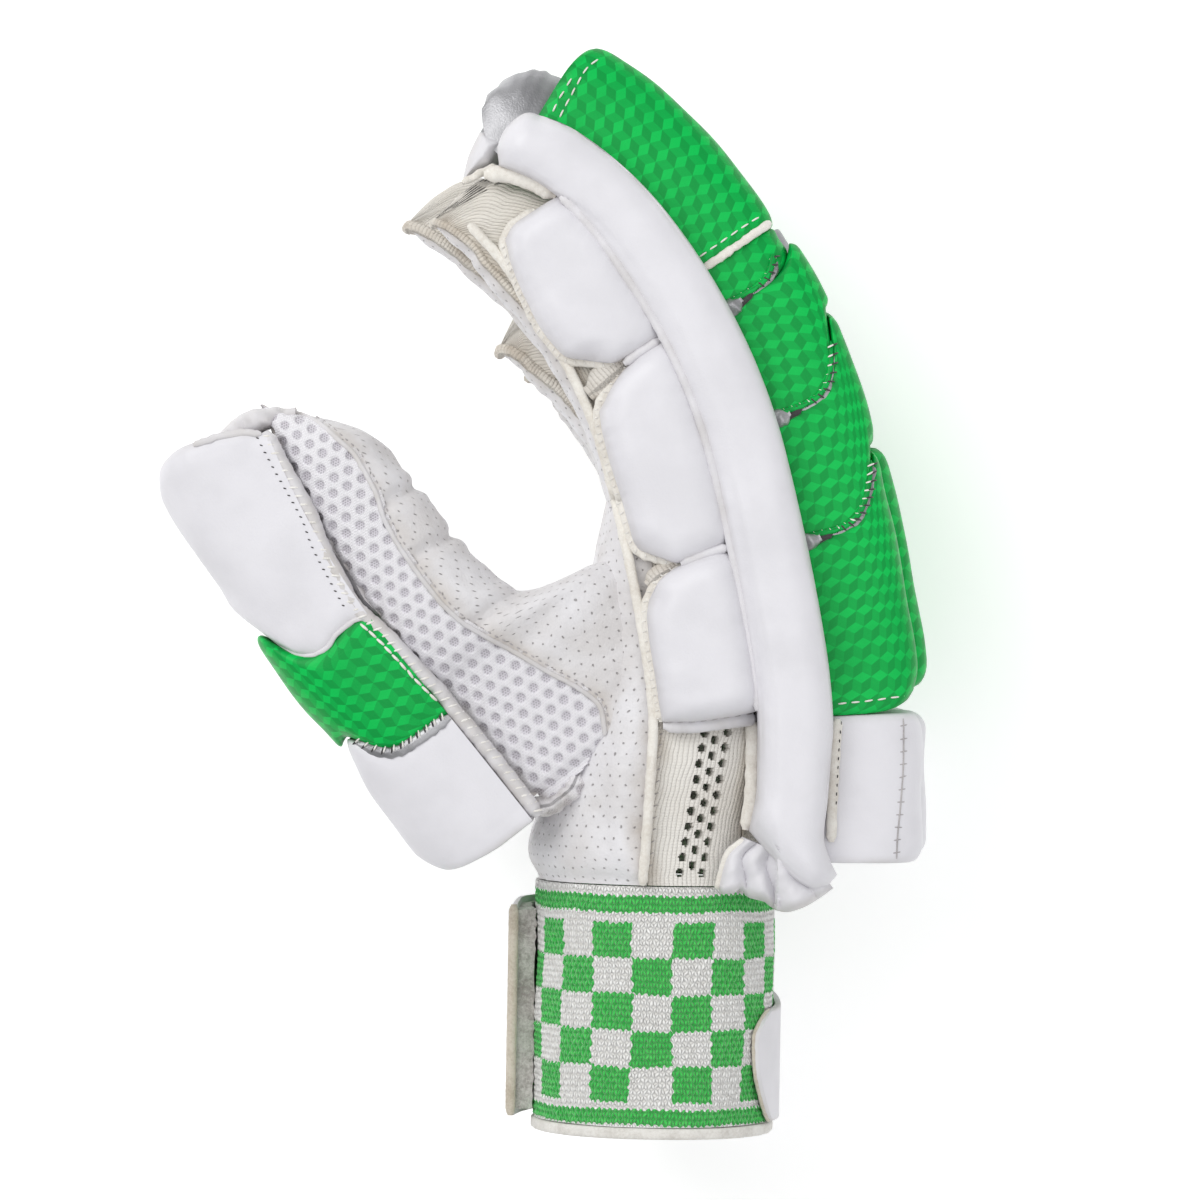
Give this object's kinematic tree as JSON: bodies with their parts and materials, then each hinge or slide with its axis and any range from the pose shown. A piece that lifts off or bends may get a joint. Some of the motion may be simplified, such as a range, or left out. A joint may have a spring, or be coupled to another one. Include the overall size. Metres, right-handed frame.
{
  "type": "cricket batting glove",
  "caption": "Right-hand cricket batting glove with padded finger rolls, side bars, a padded mesh thumb and a knitted wrist cuff with a strap.",
  "frame": {"origin": "middle of the outline at the floor that the glove's little-finger side rests on", "axes": "+Y from the cuff to the fingertips, +X to the back of the hand, +Z to the thumb side"},
  "size_m": [0.2104, 0.2924, 0.1194],
  "materials": {
    "cuff_knit": "thick knit, matt",
    "strap_knit": "thick knit, matt",
    "hook_tape": "short stiff hooks, matt",
    "mesh": "open knit, matt",
    "knit": "fine knit, matt",
    "leather": "soft, perforated, matt",
    "silver_leather": "coated, satin metallic",
    "green_leather": "coated, satin, tone on tone pattern",
    "white_leather": "coated, smooth, satin"
  },
  "bodies": {
    "root": {"cuff": "cuff_knit", "cuff_hem": "cuff_knit", "gather": "leather", "hand_back": "knit", "hook_tape": "hook_tape", "index_front": "leather", "index_hand_roll": "green_leather", "index_knuckle_roll": "green_leather", "index_middle_roll": "green_leather", "index_side_bar": "white_leather", "index_side_pad_base": "white_leather", "index_side_pad_middle": "white_leather", "index_side_pad_tip": "white_leather", "index_small_roll": "green_leather", "index_stall": "knit", "index_tip_cap": "silver_leather", "index_tip_guard": "green_leather", "little_front": "leather", "little_hand_roll": "green_leather", "little_knuckle_roll": "green_leather", "little_middle_roll": "silver_leather", "little_side_bar": "white_leather", "little_side_pad_base": "white_leather", "little_side_pad_middle": "white_leather", "little_side_pad_tip": "white_leather", "little_stall": "knit", "little_tip_cap": "silver_leather", "little_tip_guard": "green_leather", "middle_front": "leather", "middle_hand_roll": "green_leather", "middle_knuckle_roll": "green_leather", "middle_middle_roll": "silver_leather", "middle_stall": "knit", "middle_tip_cap": "silver_leather", "middle_tip_guard": "green_leather", "palm": "leather", "piping": "knit", "ring_front": "leather", "ring_hand_roll": "green_leather", "ring_knuckle_roll": "green_leather", "ring_middle_roll": "silver_leather", "ring_stall": "knit", "ring_tip_cap": "silver_leather", "ring_tip_guard": "green_leather", "side_knit": "knit", "strap": "strap_knit", "thumb_base_pad": "white_leather", "thumb_leather": "leather", "thumb_mesh": "mesh", "thumb_middle_pad": "green_leather", "thumb_tip_pad": "white_leather", "wrist_block_little_side": "white_leather", "wrist_block_middle": "white_leather", "wrist_block_thumb_side": "white_leather"}
  },
  "joints": []
}
